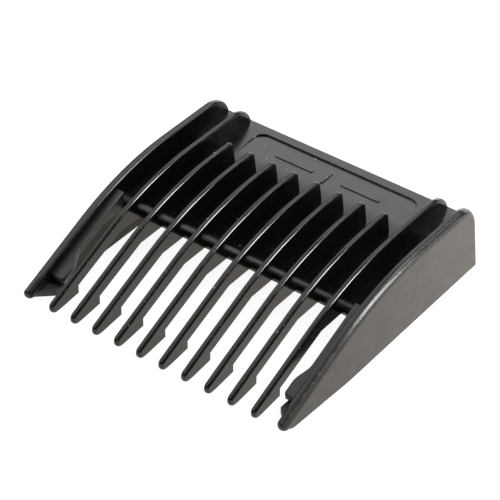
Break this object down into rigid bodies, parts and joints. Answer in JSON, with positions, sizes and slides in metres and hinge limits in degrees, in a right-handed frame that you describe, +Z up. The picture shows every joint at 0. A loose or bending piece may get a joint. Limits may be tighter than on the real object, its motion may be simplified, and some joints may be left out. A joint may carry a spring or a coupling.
{
  "type": "clipper guard comb",
  "caption": "One-piece plastic guard comb for a hair clipper: curved comb teeth between two sloping cheeks, with a label deck behind and a blade pocket beneath.",
  "frame": {"origin": "middle of the footprint, on the surface that the comb stands on", "axes": "+X across the comb toward the right cheek, +Y from the tooth tips to the rear edge, +Z up"},
  "size_m": [0.0516, 0.0532, 0.0134],
  "materials": {
    "polished_plastic": "black, moulded against a polished tool",
    "satin_plastic": "black, fine satin tool texture"
  },
  "bodies": {
    "root": {"left_cheek": "satin_plastic", "right_cheek": "satin_plastic", "guide_rib_left": "polished_plastic", "comb_tooth_2": "polished_plastic", "comb_tooth_3": "polished_plastic", "comb_tooth_4": "polished_plastic", "comb_tooth_5": "polished_plastic", "comb_tooth_6": "polished_plastic", "comb_tooth_7": "polished_plastic", "comb_tooth_8": "polished_plastic", "comb_tooth_9": "polished_plastic", "guide_rib_right": "polished_plastic", "web_plate": "polished_plastic", "label_deck": "polished_plastic", "rear_wall": "satin_plastic", "rear_catch": "satin_plastic", "left_blade_lug": "satin_plastic", "right_blade_lug": "satin_plastic", "left_tip_foot": "satin_plastic", "right_tip_foot": "satin_plastic"}
  },
  "joints": []
}
